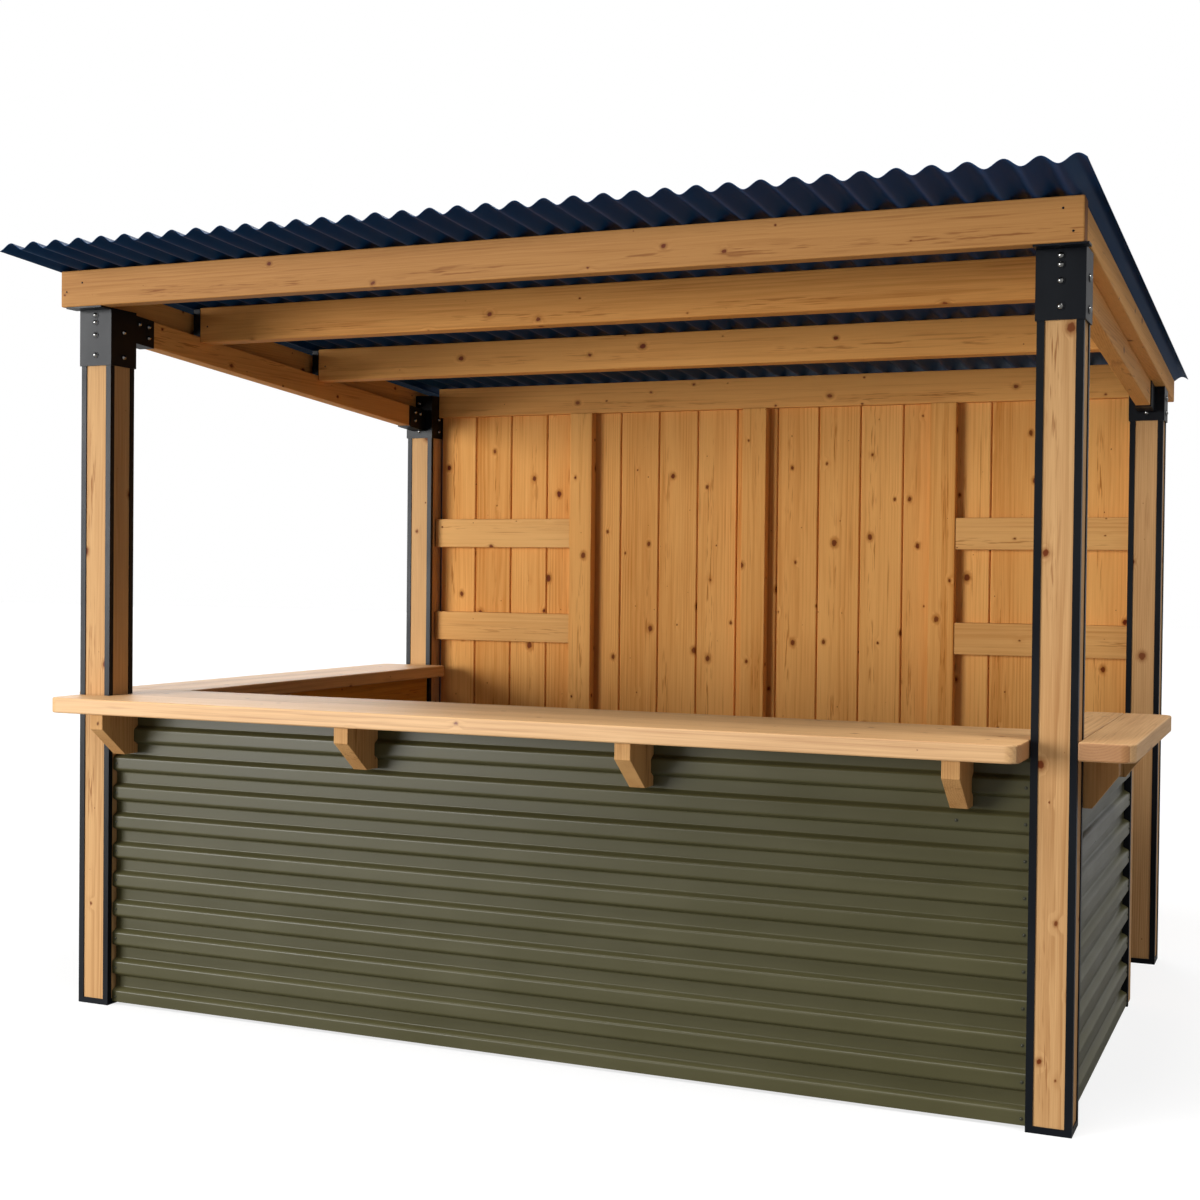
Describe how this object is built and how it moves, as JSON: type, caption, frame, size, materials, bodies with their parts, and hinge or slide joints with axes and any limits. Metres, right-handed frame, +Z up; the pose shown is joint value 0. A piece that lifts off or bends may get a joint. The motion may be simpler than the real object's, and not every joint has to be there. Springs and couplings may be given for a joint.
{
  "type": "wooden market stall",
  "caption": "Open timber market stall with a low mono-pitch corrugated roof on trimmed posts, ribbed metal half walls, serving counters on corbels and a boarded back wall.",
  "frame": {"origin": "centre of the stall's bounding box, on the ground", "axes": "+X along the serving front to the right as seen by a customer, +Y from the front to the back wall, +Z up"},
  "size_m": [3.202, 2.7565, 2.2674],
  "materials": {
    "frame_pine": "oiled",
    "wall_pine": "oiled",
    "counter_pine": "planed and oiled",
    "black_steel": "satin powder coat",
    "olive_sheet": "matt coated steel",
    "navy_sheet": "satin coated steel"
  },
  "bodies": {
    "root": {"post_front_left": "frame_pine", "post_front_right": "frame_pine", "post_back_left": "frame_pine", "post_back_right": "frame_pine", "front_post_trims": "black_steel", "back_post_trims": "black_steel", "shoes": "black_steel", "bracket_front_left": "black_steel", "bracket_front_right": "black_steel", "bracket_back_left": "black_steel", "bracket_back_right": "black_steel", "front_beam": "frame_pine", "front_purlin": "frame_pine", "rear_purlin": "frame_pine", "back_beam": "frame_pine", "purlin_hangers": "black_steel", "left_side_beam": "frame_pine", "right_side_beam": "frame_pine", "left_outer_board": "frame_pine", "right_outer_board": "frame_pine", "roof_sheet_left": "navy_sheet", "roof_sheet_middle": "navy_sheet", "roof_sheet_right": "navy_sheet", "front_cladding": "olive_sheet", "left_cladding": "olive_sheet", "right_cladding": "olive_sheet", "front_wall_frame": "wall_pine", "left_wall_frame": "wall_pine", "right_wall_frame": "wall_pine", "front_lining": "wall_pine", "left_lining": "wall_pine", "right_lining": "wall_pine", "entrance_jamb": "frame_pine", "jamb_trim": "black_steel", "front_counter": "counter_pine", "left_counter": "counter_pine", "right_counter_outer": "counter_pine", "right_counter_inner": "counter_pine", "front_corbels": "frame_pine", "left_corbels": "frame_pine", "right_corbels": "frame_pine", "back_wall": "frame_pine", "back_battens": "frame_pine", "shelf_rails": "frame_pine"}
  },
  "joints": []
}
